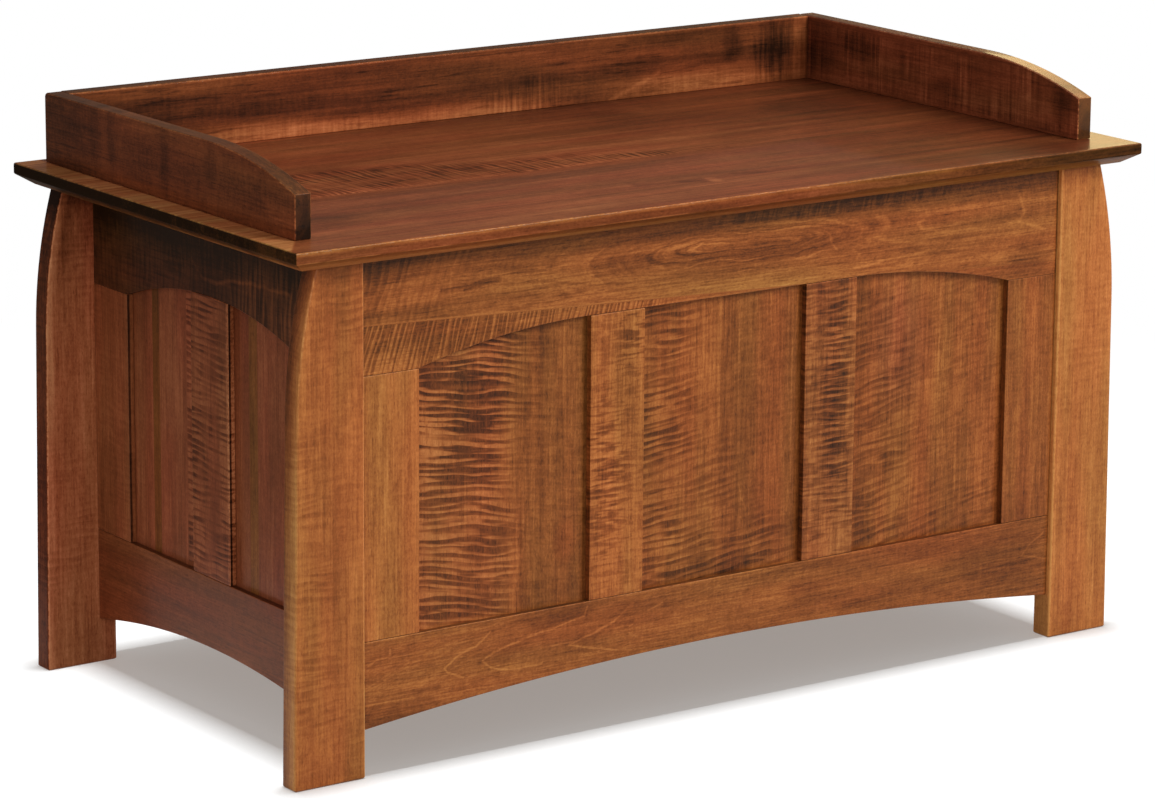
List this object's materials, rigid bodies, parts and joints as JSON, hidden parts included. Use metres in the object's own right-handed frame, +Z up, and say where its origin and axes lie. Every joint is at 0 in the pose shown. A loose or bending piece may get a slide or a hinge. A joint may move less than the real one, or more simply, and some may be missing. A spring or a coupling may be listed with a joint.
{
  "type": "storage chest",
  "caption": "Panelled wooden storage chest with curved corner posts, arched rails, a hinged lid and a low gallery round the top of the lid.",
  "frame": {"origin": "on the floor below the middle of the lid", "axes": "+X to the right seen from the front, the front faces -Y, +Z up"},
  "size_m": [1.076, 0.562, 0.6223],
  "materials": {
    "post_wood": "brown-stained curly maple under satin varnish",
    "rail_wood": "brown-stained curly maple under satin varnish",
    "stile_wood": "brown-stained maple under satin varnish",
    "panel_wood": "brown-stained curly maple under satin varnish",
    "side_wood": "brown-stained maple under satin varnish",
    "lid_wood": "brown-stained curly maple under satin varnish",
    "inside_wood": "clear-finished maple",
    "hinge_brass": "satin, slightly aged"
  },
  "bodies": {
    "case": {"post_front_left": "post_wood", "post_front_right": "post_wood", "post_rear_left": "post_wood", "post_rear_right": "post_wood", "front_top_rail": "rail_wood", "front_bottom_rail": "rail_wood", "front_stile_1": "stile_wood", "front_stile_2": "stile_wood", "front_stile_3": "stile_wood", "front_stile_4": "stile_wood", "front_panel_1": "panel_wood", "front_panel_2": "panel_wood", "front_panel_3": "panel_wood", "back_top_rail": "side_wood", "back_bottom_rail": "side_wood", "back_stile_1": "side_wood", "back_stile_2": "side_wood", "back_stile_3": "side_wood", "back_stile_4": "side_wood", "back_panel_1": "side_wood", "back_panel_2": "side_wood", "back_panel_3": "side_wood", "left_top_rail": "side_wood", "left_bottom_rail": "side_wood", "left_stile_1": "side_wood", "left_stile_2": "side_wood", "left_stile_3": "side_wood", "left_panel_1": "side_wood", "left_panel_2": "side_wood", "right_top_rail": "side_wood", "right_bottom_rail": "side_wood", "right_stile_1": "side_wood", "right_stile_2": "side_wood", "right_stile_3": "side_wood", "right_panel_1": "side_wood", "right_panel_2": "side_wood", "bottom_board": "inside_wood", "cleat_front": "inside_wood", "cleat_back": "inside_wood", "cleat_left": "inside_wood", "cleat_right": "inside_wood", "hinge_1_case_leaf": "hinge_brass", "hinge_1_pin": "hinge_brass", "hinge_2_case_leaf": "hinge_brass", "hinge_2_pin": "hinge_brass", "hinge_3_case_leaf": "hinge_brass", "hinge_3_pin": "hinge_brass"},
    "lid": {"lid_panel": "lid_wood", "gallery_back": "lid_wood", "gallery_left": "lid_wood", "gallery_right": "lid_wood", "hinge_1_lid_leaf": "hinge_brass", "hinge_2_lid_leaf": "hinge_brass", "hinge_3_lid_leaf": "hinge_brass"}
  },
  "joints": [
    {"name": "lid_hinge", "type": "hinge", "parent": "case", "child": "lid", "pos_m": [0, 0.2716, 0.52635], "axis": [-1, 0, 0], "range_deg": [0, 95]}
  ]
}
